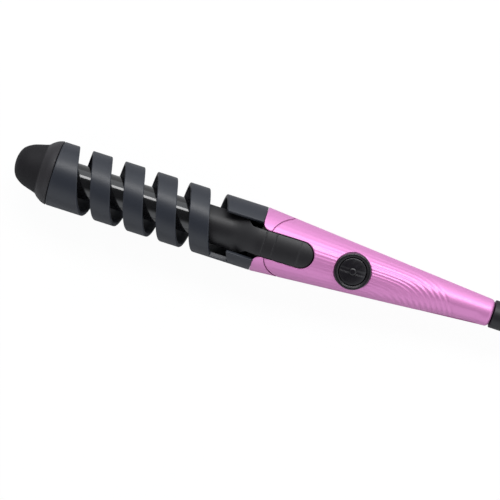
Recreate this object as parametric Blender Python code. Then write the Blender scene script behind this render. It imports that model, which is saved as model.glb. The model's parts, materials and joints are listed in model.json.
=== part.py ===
"""Spiral hair curler: a heated barrel in a slotted spiral cage, a sprung hair clip, a two-shell
tapered handle with a rocker switch, and a cord on a swivel.

Frame: metres. +X runs along the barrel axis from the tip to the cord, +Z is the face side with the
clip lever and the switch, and the origin is on the axis in the middle of the object's length.
The script's own X values count from the shoulder where the cage meets the handle, and every object
hangs from a frame empty that moves them all to the middle.
"""

import math

import bmesh
import bpy
from mathutils import Matrix, Vector

MM = 0.001
GAP = 0.3 * MM

# Driving dimensions
TIP_FRONT_X = -153.8 * MM
CAGE_FRONT_X = -128.8 * MM
CAGE_RADIUS = 20.0 * MM
CAGE_WALL = 2.4 * MM
BARREL_RADIUS = 10.0 * MM
BARREL_WALL = 0.8 * MM
BARREL_FRONT_X = -122.0 * MM
BARREL_REAR_X = 22.0 * MM
SLOT_PITCH = 20.57 * MM
SLOT_WIDTH = 8.2 * MM
LAST_SLOT_WIDTH = 10.9 * MM
HANDLE_FRONT_RADIUS = 20.1 * MM
HANDLE_TAPER = 0.0794
HANDLE_WALL = 2.0 * MM
HANDLE_END_X = 147.2 * MM
SWITCH_X = 59.2 * MM
CORD_RADIUS = 3.2 * MM
CORD_END_X = 225.0 * MM
MIDDLE_X = (TIP_FRONT_X + CORD_END_X) / 2

# Spiral slot: angles run from +Z towards -Y, and the slot moves towards the handle as they grow.
# The sway slants the strands more on the face side than behind.
SLOT_ZERO_X = -108.3 * MM
SLOT_START_DEG = -174
SLOT_END_DEG = 1506
SLOT_WIDENS_DEG = (1170, 1270)
SLOT_STEP_DEG = 12
SLOT_SWAY = 1.7 * MM
SLOT_SWAY_DEG = 20
CAGE_INNER_RADIUS = CAGE_RADIUS - CAGE_WALL

# Clip lever
LEVER_FRONT_X = -36.0 * MM
LEVER_END_X = 33.9 * MM
LEVER_THICKNESS = 2.0 * MM
JAW_RADIUS = 12.4 * MM
JAW_HALF_WIDTH = 11.4 * MM
TONGUE_HALF_WIDTH = 7.85 * MM
LEVER_RISE_X = (-20.0 * MM, 2.0 * MM)
LEVER_NECK_X = (-11.0 * MM, -5.0 * MM)
PIVOT_X = 2.5 * MM
PIVOT_Z = 13.0 * MM
PIN_RADIUS = 1.2 * MM
PIN_HALF_LENGTH = 8.8 * MM

# Handle openings
LEVER_SLOT_HALF_WIDTH = 8.4 * MM
LEVER_SLOT_END_X = 34.8 * MM
CAGE_CUTOUT_HALF_WIDTH = 12.0 * MM
SCREW_POSTS_X = (42.5 * MM, 116.0 * MM)

# Switch, in its own frame: origin on the handle surface, z along the outward normal
BEZEL_RADIUS = 11.15 * MM
BEZEL_BORE = 8.7 * MM
ROCKER_RADIUS = 8.3 * MM
TERMINAL_OFFSETS = {"common": -5.0 * MM, "low": 0.0, "high": 5.0 * MM}

# Swivel
SWIVEL_RADIUS = 8.6 * MM
SWIVEL_FRONT_X = 147.8 * MM
SWIVEL_END_X = 166.0 * MM
SLIP_RINGS_X = {"live": 130.0 * MM, "neutral": 134.0 * MM}
CORE_OFFSET = 1.45 * MM

# Empty that holds the whole object
FRAME_NAME = "curler_frame"

# Segments round a circle
FINE = 30
MEDIUM = 20
COARSE = 12

COLOURS = {
    "cage_plastic": ((0.045, 0.050, 0.065), 0.42, 0.0),
    "tip_plastic": ((0.014, 0.013, 0.015), 0.60, 0.0),
    "lever_plastic": ((0.022, 0.021, 0.022), 0.45, 0.0),
    "ceramic_coat": ((0.010, 0.010, 0.012), 0.12, 0.0),
    "pink_paint": ((0.730, 0.265, 0.610), 0.32, 0.25),
    "gloss_black": ((0.010, 0.010, 0.011), 0.20, 0.0),
    "rubber_black": ((0.020, 0.020, 0.022), 0.55, 0.0),
    "steel": ((0.560, 0.560, 0.570), 0.30, 1.0),
    "aluminium": ((0.720, 0.720, 0.730), 0.35, 1.0),
    "brass": ((0.720, 0.520, 0.220), 0.30, 1.0),
    "heat_nylon": ((0.055, 0.044, 0.036), 0.60, 0.0),
    "heater_ceramic": ((0.250, 0.240, 0.230), 0.70, 0.0),
    "insulation": ((0.650, 0.360, 0.090), 0.35, 0.0),
    "board": ((0.050, 0.220, 0.080), 0.50, 0.0),
    "wire_red": ((0.550, 0.030, 0.030), 0.45, 0.0),
    "wire_blue": ((0.030, 0.080, 0.450), 0.45, 0.0),
    "wire_white": ((0.750, 0.750, 0.730), 0.45, 0.0),
}


# ---------------------------------------------------------------- scene and material helpers

def clear_scene():
    """Removes every object, so the part starts from nothing."""
    for obj in list(bpy.data.objects):
        bpy.data.objects.remove(obj, do_unlink=True)


def finish(name, finish_name):
    """A new material for one object, with the colour, roughness and metallic value of a finish."""
    colour, roughness, metallic = COLOURS[finish_name]
    material = bpy.data.materials.new(name)
    material.use_nodes = True
    shader = material.node_tree.nodes["Principled BSDF"]
    shader.inputs["Base Color"].default_value = (*colour, 1.0)
    shader.inputs["Roughness"].default_value = roughness
    shader.inputs["Metallic"].default_value = metallic
    return material


def hang(obj, joint=None):
    """Parents an object to the frame empty, directly or through a joint's empty."""
    obj.parent = joint or bpy.data.objects[FRAME_NAME]
    if joint:
        obj.matrix_parent_inverse = joint.matrix_basis.inverted()


def add_object(name, shape, finish_name, joint=None):
    """Turns a bmesh into an object, whose origin is on its joint if it has one."""
    bmesh.ops.recalc_face_normals(shape, faces=shape.faces)
    origin = joint.location.copy() if joint else Vector((0, 0, 0))
    bmesh.ops.translate(shape, verts=shape.verts, vec=-origin)
    mesh = bpy.data.meshes.new(name)
    shape.to_mesh(mesh)
    shape.free()
    mesh.shade_smooth()
    mesh.set_sharp_from_angle(angle=math.radians(35))
    mesh.materials.append(finish(name, finish_name))
    obj = bpy.data.objects.new(name, mesh)
    bpy.context.scene.collection.objects.link(obj)
    obj.location = origin
    hang(obj, joint)
    return obj


def add_empty(name, location, rotation=(0, 0, 0)):
    empty = bpy.data.objects.new(name, None)
    empty.empty_display_size = 10 * MM
    bpy.context.scene.collection.objects.link(empty)
    empty.location = location
    empty.rotation_euler = rotation
    return empty


def add_joint_empty(name, location, rotation=(0, 0, 0)):
    """An empty on a joint's axis, which the moving pieces hang from."""
    empty = add_empty(name, location, rotation)
    hang(empty)
    return empty


def cutter(name, shape):
    """A helper solid that Booleans use: hidden in renders and drawn as wire."""
    bmesh.ops.recalc_face_normals(shape, faces=shape.faces)
    mesh = bpy.data.meshes.new(name)
    shape.to_mesh(mesh)
    shape.free()
    obj = bpy.data.objects.new(name, mesh)
    bpy.context.scene.collection.objects.link(obj)
    hang(obj)
    obj.hide_render = True
    obj.display_type = "WIRE"
    return obj


def combine(obj, other, operation):
    """Adds a Boolean with another object: DIFFERENCE, UNION or INTERSECT."""
    modifier = obj.modifiers.new(f"{operation.lower()}_{other.name}", "BOOLEAN")
    modifier.operation = operation
    modifier.object = other
    tidy = obj.modifiers.new(f"triangles_after_{other.name}", "TRIANGULATE")
    tidy.min_vertices = 5


# ---------------------------------------------------------------- shape helpers

def circle(count, radius, phase):
    """Points on a circle in the YZ plane from +Z towards -Y, turned by phase, a share of a step."""
    step = 2 * math.pi / count
    angles = [(phase + index) * step for index in range(count)]
    return [(-radius * math.sin(angle), radius * math.cos(angle)) for angle in angles]


def skin(shape, rings):
    """Joins a closed loop of rings, where a ring of one point is a pole."""
    for first, second in zip(rings, rings[1:] + rings[:1]):
        count = max(len(first), len(second))
        if count == 1:
            continue
        for index in range(count):
            following = (index + 1) % count
            corners = [first[index % len(first)], first[following % len(first)],
                       second[following % len(second)], second[index % len(second)]]
            corners = list(dict.fromkeys(corners))
            shape.faces.new(corners)


def turned(profile, segments, centre=(0, 0), phase=0.0):
    """A solid of revolution about a line along X through (y, z), from (x, radius) points."""
    shape = bmesh.new()
    rings = []
    for x, radius in profile:
        points = circle(segments, radius, phase) if radius > 0 else [(0, 0)]
        rings.append([shape.verts.new((x, centre[0] + y, centre[1] + z)) for y, z in points])
    skin(shape, rings)
    return shape


def tube(x_from, x_to, inner, outer, segments, centre=(0, 0)):
    """A plain ring or sleeve along X."""
    profile = [(x_from, inner), (x_from, outer), (x_to, outer), (x_to, inner)]
    return turned(profile, segments, centre)


def rod(x_from, x_to, radius, segments, centre=(0, 0)):
    """A plain round bar along X."""
    profile = [(x_from, 0), (x_from, radius), (x_to, radius), (x_to, 0)]
    return turned(profile, segments, centre)


def upright(profile, segments, matrix=Matrix.Identity(4)):
    """A solid of revolution about Z, from (z, radius) points, then placed by a matrix.

    It is turned by half a step, so that its edges don't lie on those of the pieces it cuts.
    """
    shape = turned(profile, segments, phase=0.5)
    about_y = Matrix.Rotation(-math.pi / 2, 4, "Y")
    bmesh.ops.transform(shape, matrix=matrix @ about_y, verts=shape.verts)
    return shape


def crosswise(y_from, y_to, radius, segments, x, z):
    """A plain round bar along Y through (x, z)."""
    shape = rod(y_from, y_to, radius, segments)
    about_z = Matrix.Rotation(math.pi / 2, 4, "Z")
    place = Matrix.Translation((x, 0, z)) @ about_z
    bmesh.ops.transform(shape, matrix=place, verts=shape.verts)
    return shape


def prism(outline, z_from, z_to):
    """A plan outline of (x, y) points extruded from z_from to z_to."""
    shape = bmesh.new()
    base = [shape.verts.new((x, y, z_from)) for x, y in outline]
    face = shape.faces.new(base)
    grown = bmesh.ops.extrude_face_region(shape, geom=[face])
    top = [item for item in grown["geom"] if isinstance(item, bmesh.types.BMVert)]
    bmesh.ops.translate(shape, verts=top, vec=(0, 0, z_to - z_from))
    return shape


def box(low, high, matrix=Matrix.Identity(4)):
    """A block from its lowest to its highest corner, then placed by a matrix."""
    outline = [(low[0], low[1]), (high[0], low[1]), (high[0], high[1]), (low[0], high[1])]
    shape = prism(outline, low[2], high[2])
    bmesh.ops.transform(shape, matrix=matrix, verts=shape.verts)
    return shape


def wire(points, radius, sides=6):
    """A round wire through the points, with its sections square to the path."""
    shape = bmesh.new()
    path = [Vector(point) for point in points]
    rings = []
    side = None
    for index, point in enumerate(path):
        before = path[max(index - 1, 0)]
        after = path[min(index + 1, len(path) - 1)]
        along = (after - before).normalized()
        if side is None:
            side = along.orthogonal().normalized()
        side = (side - along * side.dot(along)).normalized()
        across = along.cross(side)
        ring = []
        for step in range(sides):
            angle = 2 * math.pi * step / sides
            offset = side * math.cos(angle) + across * math.sin(angle)
            ring.append(shape.verts.new(point + offset * radius))
        rings.append(ring)
    for first, second in zip(rings, rings[1:]):
        for index in range(sides):
            following = (index + 1) % sides
            shape.faces.new([first[index], first[following], second[following], second[index]])
    shape.faces.new(rings[0])
    shape.faces.new(rings[-1])
    return shape


def smooth_step(value, low, high):
    """0 below low, 1 above high, and an S-curve between."""
    share = min(max((value - low) / (high - low), 0.0), 1.0)
    return share * share * (3 - 2 * share)


def handle_radius(x):
    """Outer radius of the handle's cone."""
    return HANDLE_FRONT_RADIUS - HANDLE_TAPER * x


def mirrored_outline(points):
    """A plan outline from its +Y side, walked tailwards, and its mirror image."""
    return points + [(x, -y) for x, y in reversed(points) if y > 0]


# ---------------------------------------------------------------- tip and cage

def build_tip():
    wall = 2.4 * MM
    x = TIP_FRONT_X
    outer = [(x, 0), (x + 0.5 * MM, 4.6 * MM), (x + 1.7 * MM, 7.6 * MM), (x + 3.6 * MM, 10.1 * MM),
             (x + 7.2 * MM, 12.4 * MM), (x + 10.9 * MM, 13.7 * MM), (x + 16.5 * MM, 15.2 * MM),
             (x + 18.6 * MM, 16.9 * MM), (x + 21.7 * MM, 18.9 * MM), (CAGE_FRONT_X - GAP, 20.0 * MM)]
    spigot = CAGE_INNER_RADIUS - GAP
    inside = [(CAGE_FRONT_X - GAP, spigot), (CAGE_FRONT_X + 2.4 * MM, spigot),
              (CAGE_FRONT_X + 2.4 * MM, spigot - wall), (x + 18.0 * MM, 12.2 * MM),
              (x + 8.0 * MM, 9.4 * MM), (x + 3.4 * MM, 5.0 * MM)]
    boss = [(x + 3.4 * MM, 3.6 * MM), (CAGE_FRONT_X + 2.4 * MM, 3.6 * MM),
            (CAGE_FRONT_X + 2.4 * MM, 1.4 * MM), (x + 12.0 * MM, 1.4 * MM), (x + 12.0 * MM, 0)]
    add_object("tip_cap", turned(outer + inside + boss, FINE), "tip_plastic")

    disc_x = CAGE_FRONT_X + 2.4 * MM + GAP
    hub_x = BARREL_FRONT_X + 8 * MM
    profile = [(disc_x, 1.8 * MM), (disc_x, spigot), (disc_x + 3 * MM, spigot),
               (disc_x + 3 * MM, 10.5 * MM), (BARREL_FRONT_X - GAP, 10.5 * MM),
               (BARREL_FRONT_X - GAP, 8.9 * MM), (hub_x, 8.9 * MM), (hub_x, 4.2 * MM),
               (disc_x + 3 * MM, 4.2 * MM), (disc_x + 3 * MM, 1.8 * MM)]
    add_object("barrel_front_plug", turned(profile, MEDIUM), "heat_nylon")

    head_x = disc_x + 3 * MM + GAP
    tip_screw = [(x + 14 * MM, 0), (x + 14 * MM, 1.1 * MM), (head_x, 1.1 * MM),
                 (head_x, 2.6 * MM), (head_x + 2 * MM, 2.6 * MM), (head_x + 2 * MM, 0)]
    add_object("tip_screw", turned(tip_screw, COARSE), "steel")


def slot_centre_x(degrees):
    """A helix that sways, so the slot slants more across the face side than round the back."""
    sway = SLOT_SWAY * math.sin(math.radians(degrees - SLOT_SWAY_DEG))
    return SLOT_ZERO_X + SLOT_PITCH * degrees / 360 + sway


def slot_cutter():
    """A helical bar that removes the hair slot from the cage wall."""
    shape = bmesh.new()
    inner = CAGE_INNER_RADIUS - 1.5 * MM
    outer = CAGE_RADIUS + 1.5 * MM
    rings = []
    for degrees in range(SLOT_START_DEG, SLOT_END_DEG + 1, SLOT_STEP_DEG):
        angle = math.radians(degrees)
        centre = slot_centre_x(degrees)
        extra = (LAST_SLOT_WIDTH - SLOT_WIDTH) * smooth_step(degrees, *SLOT_WIDENS_DEG)
        front = centre - SLOT_WIDTH / 2
        rear = centre + SLOT_WIDTH / 2 + extra
        corners = [(front, inner), (front, outer), (rear, outer), (rear, inner)]
        rings.append([shape.verts.new((x, -radius * math.sin(angle), radius * math.cos(angle)))
                      for x, radius in corners])
    for first, second in zip(rings, rings[1:]):
        for index in range(4):
            following = (index + 1) % 4
            shape.faces.new([first[index], first[following], second[following], second[index]])
    shape.faces.new(rings[0])
    shape.faces.new(rings[-1])
    return cutter("cut_spiral_slot", shape)


def build_cage():
    rear = -GAP / 2
    plug_radius = CAGE_INNER_RADIUS - 0.2 * MM
    plug_rear = 3.7 * MM
    bulkhead_front = -4 * MM
    bulkhead_bore = BARREL_RADIUS + 1 * MM
    profile = [(CAGE_FRONT_X, CAGE_INNER_RADIUS), (CAGE_FRONT_X, CAGE_RADIUS),
               (rear, CAGE_RADIUS), (rear, plug_radius), (plug_rear, plug_radius),
               (plug_rear, bulkhead_bore), (bulkhead_front, bulkhead_bore),
               (bulkhead_front, CAGE_INNER_RADIUS)]
    cage = add_object("spiral_cage", turned(profile, FINE), "cage_plastic")
    combine(cage, slot_cutter(), "DIFFERENCE")
    half = CAGE_CUTOUT_HALF_WIDTH
    window = box((-26 * MM, -half, 6 * MM), (5 * MM, half, 25 * MM))
    combine(cage, cutter("cut_lever_window", window), "DIFFERENCE")
    for name, sign in (("left", 1), ("right", -1)):
        centre = (sign * 12.2 * MM, -6.4 * MM)
        hole = rod(-2 * MM, 5 * MM, 1.2 * MM, COARSE, centre)
        combine(cage, cutter(f"cut_cage_screw_{name}", hole), "DIFFERENCE")
        head_x = 20 * MM + GAP
        screw = [(0, 0), (0, 0.9 * MM), (head_x, 0.9 * MM), (head_x, 1.9 * MM),
                 (head_x + 1.6 * MM, 1.9 * MM), (head_x + 1.6 * MM, 0)]
        add_object(f"cage_screw_{name}", turned(screw, COARSE, centre), "steel")


# ---------------------------------------------------------------- barrel and heater

def build_barrel():
    bore = BARREL_RADIUS - BARREL_WALL
    barrel = tube(BARREL_FRONT_X, BARREL_REAR_X, bore, BARREL_RADIUS, FINE)
    add_object("heat_barrel", barrel, "ceramic_coat")
    jacket = tube(-106 * MM, -16 * MM, 8.3 * MM, 8.9 * MM, MEDIUM)
    add_object("insulation_sleeve", jacket, "insulation")


def half_round(name, sign):
    """A half-round aluminium bar between the heater and the insulation sleeve."""
    radius = 8.0 * MM
    flat = 2.0 * MM
    steps = 12
    limit = math.acos(flat / radius)
    shape = bmesh.new()
    ends = []
    for x in (-104 * MM, -18 * MM):
        angles = [limit * (2 * index / steps - 1) for index in range(steps + 1)]
        ends.append([shape.verts.new((x, radius * math.sin(angle), sign * radius * math.cos(angle)))
                     for angle in angles])
    skin_between(shape, ends)
    add_object(name, shape, "aluminium")


def skin_between(shape, ends):
    """Closes a bar between two matching end outlines."""
    first, second = ends
    count = len(first)
    for index in range(count):
        following = (index + 1) % count
        shape.faces.new([first[index], first[following], second[following], second[index]])
    shape.faces.new(first)
    shape.faces.new(second)


def build_heater():
    half_round("heat_spreader_upper", 1)
    half_round("heat_spreader_lower", -1)
    plate = box((-100 * MM, -6 * MM, -1 * MM), (-22 * MM, 6 * MM, 1 * MM))
    add_object("ptc_heater_plate", plate, "heater_ceramic")
    for name, low in (("upper", 1.2 * MM), ("lower", -1.7 * MM)):
        strip = box((-101 * MM, -6 * MM, low), (-14 * MM, 6 * MM, low + 0.5 * MM))
        add_object(f"electrode_{name}", strip, "brass")
    fuse = rod(-11 * MM, -2 * MM, 1.6 * MM, COARSE, (0, 5.0 * MM))
    add_object("thermal_fuse", fuse, "steel")


def build_holder():
    """The heat-resistant flange that carries the barrel, with two ears for the clip's pin."""
    flange = tube(4.4 * MM, 20 * MM, 9.5 * MM, 16.0 * MM, MEDIUM)
    holder = add_object("barrel_holder", flange, "heat_nylon")
    top = box((2 * MM, -20 * MM, 11.3 * MM), (22 * MM, 20 * MM, 22 * MM))
    combine(holder, cutter("cut_holder_top", top), "DIFFERENCE")
    lug_pocket = box((2 * MM, -6.9 * MM, 9.6 * MM), (6.2 * MM, 6.9 * MM, 22 * MM))
    combine(holder, cutter("cut_lug_pocket", lug_pocket), "DIFFERENCE")
    for name, sign in (("left", 1), ("right", -1)):
        low, high = sorted((sign * 7.2 * MM, sign * 8.9 * MM))
        ear = box((0.2 * MM, low, 5 * MM), (6.2 * MM, high, 14.7 * MM))
        combine(holder, cutter(f"join_ear_{name}", ear), "UNION")
        hole = rod(2 * MM, 22 * MM, 1.2 * MM, COARSE, (sign * 12.2 * MM, -6.4 * MM))
        combine(holder, cutter(f"cut_holder_screw_{name}", hole), "DIFFERENCE")
    bore = rod(-2 * MM, 22 * MM, 10.3 * MM, MEDIUM)
    combine(holder, cutter("cut_holder_bore", bore), "DIFFERENCE")
    pin_hole = crosswise(-12 * MM, 12 * MM, PIN_RADIUS + GAP, COARSE, PIVOT_X, PIVOT_Z)
    combine(holder, cutter("cut_pin_hole", pin_hole), "DIFFERENCE")
    pin = crosswise(-PIN_HALF_LENGTH, PIN_HALF_LENGTH, PIN_RADIUS, COARSE, PIVOT_X, PIVOT_Z)
    add_object("clip_pivot_pin", pin, "steel")


# ---------------------------------------------------------------- clip lever

def lever_radius(x):
    """Outer radius of the lever: low over the barrel, then rising flush with the handle."""
    share = smooth_step(x, *LEVER_RISE_X)
    return JAW_RADIUS + (handle_radius(max(x, 0)) - 0.1 * MM - JAW_RADIUS) * share


def lever_half_width(x):
    """Half width in plan: a wide jaw, a neck, and a tongue with a round end."""
    share = smooth_step(x, *LEVER_NECK_X)
    width = JAW_HALF_WIDTH + (TONGUE_HALF_WIDTH - JAW_HALF_WIDTH) * share
    beyond = x - (LEVER_END_X - TONGUE_HALF_WIDTH)
    if beyond > 0:
        width = math.sqrt(max(TONGUE_HALF_WIDTH ** 2 - beyond ** 2, (0.8 * MM) ** 2))
    return width


def lever_stations():
    """Sections along the lever, closer together where its outline turns."""
    straight_end = LEVER_END_X - TONGUE_HALF_WIDTH
    main_steps = 22
    round_steps = 5
    stations = [LEVER_FRONT_X + (straight_end - LEVER_FRONT_X) * index / main_steps
                for index in range(main_steps + 1)]
    for index in range(1, round_steps + 1):
        angle = math.pi / 2 * index / round_steps
        stations.append(straight_end + TONGUE_HALF_WIDTH * math.sin(angle))
    return stations


def build_lever(pivot):
    across = 8
    shape = bmesh.new()
    rings = []
    for x in lever_stations():
        outer = lever_radius(x)
        inner = outer - LEVER_THICKNESS
        limit = math.asin(min(lever_half_width(x) / outer, 1.0))
        angles = [limit * (2 * index / across - 1) for index in range(across + 1)]
        ring = [(outer * math.sin(a), outer * math.cos(a)) for a in angles]
        ring += [(inner * math.sin(a), inner * math.cos(a)) for a in reversed(angles)]
        rings.append([shape.verts.new((x, y, z)) for y, z in ring])
    count = len(rings[0])
    for first, second in zip(rings, rings[1:]):
        for index in range(count):
            following = (index + 1) % count
            shape.faces.new([first[index], first[following], second[following], second[index]])
    for ring in (rings[0], rings[-1]):
        for index in range(across):
            last = count - 1 - index
            shape.faces.new([ring[index], ring[index + 1], ring[last - 1], ring[last]])
    lever = add_object("clip_lever", shape, "lever_plastic", pivot)
    for name, sign in (("left", 1), ("right", -1)):
        low, high = sorted((sign * 4.6 * MM, sign * 6.6 * MM))
        lug = box((PIVOT_X - 2.4 * MM, low, PIVOT_Z - 2.3 * MM), (PIVOT_X + 2.4 * MM, high, 17.8 * MM))
        combine(lever, cutter(f"join_lug_{name}", lug), "UNION")
    hole = crosswise(-7 * MM, 7 * MM, PIN_RADIUS + GAP, COARSE, PIVOT_X, PIVOT_Z)
    combine(lever, cutter("cut_lug_hole", hole), "DIFFERENCE")


def build_lever_spring():
    """A torsion spring round the pivot pin, one leg under the lever and one on the holder.

    The leg under the lever lies just below where the lever reaches when it is pressed.
    """
    coil_radius = 2.1 * MM
    turns = 3.5
    half_width = 2.8 * MM
    steps = 28
    points = [(PIVOT_X + 13 * MM, -half_width, PIVOT_Z + 1.6 * MM)]
    for index in range(steps + 1):
        angle = 2 * math.pi * turns * index / steps
        y = half_width * (2 * index / steps - 1)
        x = PIVOT_X - coil_radius * math.sin(angle)
        z = PIVOT_Z + coil_radius * math.cos(angle)
        points.append((x, y, z))
    points.append((PIVOT_X + 7 * MM, half_width, PIVOT_Z + 0.3 * MM))
    add_object("clip_spring", wire(points, 0.35 * MM, 5), "steel")


# ---------------------------------------------------------------- handle

def handle_shell():
    """The hollow tapered handle before it is split, open at the front."""
    front = GAP / 2
    wall = HANDLE_WALL
    end = HANDLE_END_X
    inner_end = end - 4 * MM
    profile = [(front, handle_radius(front) - wall), (front, handle_radius(front)),
               (end - 3.2 * MM, handle_radius(end - 3.2 * MM)), (end - 1.2 * MM, 8.3 * MM),
               (end, 7.2 * MM), (end, 5.0 * MM), (inner_end, 5.0 * MM),
               (inner_end, handle_radius(inner_end) - wall)]
    return turned(profile, FINE)


def face_outline(grow=0.0):
    """Plan outline of the face panel: it starts beside the lever slot and sweeps out to the sides."""
    side = [(6.4 * MM, 0.0), (6.4 * MM, 8.3 * MM), (7.5 * MM, 11.4 * MM), (10.2 * MM, 14.6 * MM),
            (13.2 * MM, 16.6 * MM), (17.0 * MM, 18.2 * MM), (22.0 * MM, 20.0 * MM)]
    side = [(x - grow, y + (grow if y else 0)) for x, y in side]
    return mirrored_outline(side + [(150 * MM, 20.0 * MM + grow), (150 * MM, 0.0)])


def lever_slot_cutter():
    """A slot with a flared mouth at the cage and a round end under the thumb."""
    half = LEVER_SLOT_HALF_WIDTH
    centre_x = LEVER_SLOT_END_X - half
    mouth = [(-5.0 * MM, half + 4.0 * MM), (-0.5 * MM, half + 4.0 * MM), (0.5 * MM, half + 1.8 * MM),
             (2.0 * MM, half + 0.6 * MM), (4.5 * MM, half)]
    outline = [(x, -y) for x, y in mouth]
    steps = 12
    for index in range(steps + 1):
        angle = math.pi * (index / steps - 0.5)
        outline.append((centre_x + half * math.cos(angle), half * math.sin(angle)))
    outline += reversed(mouth)
    return cutter("cut_lever_slot", prism(outline, 9 * MM, 30 * MM))


def switch_frame():
    """The switch's frame: on the handle's surface, with z along its outward normal."""
    slope = Matrix.Rotation(math.atan(HANDLE_TAPER), 4, "Y")
    return Matrix.Translation((SWITCH_X, 0, handle_radius(SWITCH_X))) @ slope


def screw_post(low, high, x):
    return upright([(low, 0), (low, 3.0 * MM), (high, 3.0 * MM), (high, 0)], COARSE,
                   Matrix.Translation((x, 0, 0)))


def build_handle():
    slot = lever_slot_cutter()
    bezel_hole = upright([(-9 * MM, 0), (-9 * MM, BEZEL_RADIUS + GAP), (9 * MM, BEZEL_RADIUS + GAP),
                          (9 * MM, 0)], MEDIUM, switch_frame())
    bezel_hole = cutter("cut_bezel_hole", bezel_hole)

    panel = add_object("handle_face_panel", handle_shell(), "pink_paint")
    keep = prism(face_outline(), GAP / 2, 30 * MM)
    combine(panel, cutter("keep_face", keep), "INTERSECT")
    combine(panel, slot, "DIFFERENCE")

    back = add_object("handle_back_shell", handle_shell(), "pink_paint")
    remove = prism(face_outline(GAP), -GAP / 2, 30 * MM)
    combine(back, cutter("cut_face", remove), "DIFFERENCE")
    combine(back, slot, "DIFFERENCE")

    for name, x in zip(("front", "rear"), SCREW_POSTS_X):
        inside = handle_radius(x) - HANDLE_WALL / 2
        panel_post = screw_post(2 * MM, inside, x)
        combine(panel, cutter(f"join_panel_post_{name}", panel_post), "UNION")
        back_post = screw_post(-inside, 2 * MM - GAP, x)
        combine(back, cutter(f"join_back_post_{name}", back_post), "UNION")
        place = Matrix.Translation((x, 0, 0))
        pilot = upright([(1 * MM, 0), (1 * MM, 1.2 * MM), (9 * MM - 0.03 * x, 1.2 * MM),
                         (9 * MM - 0.03 * x, 0)], COARSE, place)
        combine(panel, cutter(f"cut_pilot_{name}", pilot), "DIFFERENCE")
        seat = -handle_radius(x) + 3.4 * MM
        bore = upright([(-30 * MM, 0), (-30 * MM, 2.3 * MM), (seat, 2.3 * MM), (seat, 1.3 * MM),
                        (3 * MM, 1.3 * MM), (3 * MM, 0)], COARSE, place)
        combine(back, cutter(f"cut_screw_bore_{name}", bore), "DIFFERENCE")
        head = seat - GAP
        screw = upright([(head - 1.6 * MM, 0), (head - 1.6 * MM, 2.0 * MM), (head, 2.0 * MM),
                         (head, 0.9 * MM), (5 * MM, 0.9 * MM), (5 * MM, 0)], COARSE, place)
        add_object(f"handle_screw_{name}", screw, "steel")
    combine(panel, bezel_hole, "DIFFERENCE")


# ---------------------------------------------------------------- switch and board

def build_switch(pivot):
    place = switch_frame()
    bezel = [(-6.5 * MM, BEZEL_BORE), (-6.5 * MM, BEZEL_RADIUS), (0.4 * MM, BEZEL_RADIUS),
             (0.9 * MM, BEZEL_RADIUS - 0.7 * MM), (0.9 * MM, BEZEL_BORE + 0.5 * MM),
             (0.5 * MM, BEZEL_BORE)]
    add_object("switch_bezel", upright(bezel, MEDIUM, place), "gloss_black")

    body = [(-12 * MM, 0), (-12 * MM, 8.2 * MM), (-3.5 * MM, 8.2 * MM), (-3.5 * MM, 0)]
    add_object("switch_body", upright(body, MEDIUM, place), "heat_nylon")
    for name, offset in TERMINAL_OFFSETS.items():
        blade = box((offset - 0.4 * MM, -2 * MM, -15.5 * MM), (offset + 0.4 * MM, 2 * MM, -12.3 * MM), place)
        add_object(f"switch_terminal_{name}", blade, "brass")

    disc = [(-2.7 * MM, 0), (-2.7 * MM, 3.6 * MM), (-1.5 * MM, 4.0 * MM), (-1.5 * MM, ROCKER_RADIUS),
            (0.1 * MM, ROCKER_RADIUS), (0.7 * MM, 7.4 * MM), (1.2 * MM, 5.0 * MM), (1.4 * MM, 2.8 * MM),
            (-1.2 * MM, 2.8 * MM), (-1.2 * MM, 0)]
    rocker = add_object("rocker", upright(disc, MEDIUM, place), "gloss_black", pivot)
    for name, sign in (("front", -1), ("rear", 1)):
        low, high = sorted((sign * 3.4 * MM, sign * 10 * MM))
        groove = box((low, -1.2 * MM, 0.5 * MM), (high, 1.2 * MM, 3 * MM), place)
        combine(rocker, cutter(f"cut_rocker_groove_{name}", groove), "DIFFERENCE")
    lens = [(-0.9 * MM, 0), (-0.9 * MM, 2.4 * MM), (1.3 * MM, 2.4 * MM), (1.7 * MM, 1.2 * MM),
            (1.8 * MM, 0)]
    add_object("rocker_lamp_lens", upright(lens, COARSE, place), "gloss_black", pivot)


def build_board():
    board = box((72 * MM, -7 * MM, -4.6 * MM), (108 * MM, 7 * MM, -3.0 * MM))
    add_object("control_board", board, "board")
    diode = rod(78 * MM, 85 * MM, 1.6 * MM, COARSE, (3.5 * MM, -1.0 * MM))
    add_object("half_power_diode", diode, "rubber_black")
    resistor = rod(92 * MM, 99 * MM, 1.2 * MM, COARSE, (-3.5 * MM, -1.4 * MM))
    add_object("lamp_resistor", resistor, "wire_blue")


def build_leads():
    radius = 0.7 * MM
    routes = {
        "lead_heater_live": ("wire_red", [(-1.5, 0, 5), (6, 0, 5), (22, 3, 3), (34, 7, -2),
                                          (52, 8.5, -5), (66, 6, -3.5), (71.4, 4, -3.8)]),
        "lead_heater_neutral": ("wire_white", [(-13.4, 0, -1.5), (0, 0, -4), (22, -3, -5),
                                               (34, -7, -6), (52, -7, -8), (66, -4, -6),
                                               (71.4, -3, -3.8)]),
        "lead_switch": ("wire_red", [(54.8, 0, -1.4), (60, 0, -4), (66, 0, -4), (71.4, 0, -3.8)]),
        "lead_swivel_live": ("wire_red", [(108.6, 3, -3.8), (114, 5, -3), (122, 5, 2),
                                          (127, 2, 6), (129.6, 0, 5.6)]),
        "lead_swivel_neutral": ("wire_blue", [(108.6, -3, -3.8), (114, -5, -3), (122, -5, -3.2),
                                              (128, -2.5, -5.6), (133.6, 0, -5.4)]),
    }
    for name, (finish_name, route) in routes.items():
        points = [(x * MM, y * MM, z * MM) for x, y, z in route]
        add_object(name, wire(points, radius), finish_name)


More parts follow.
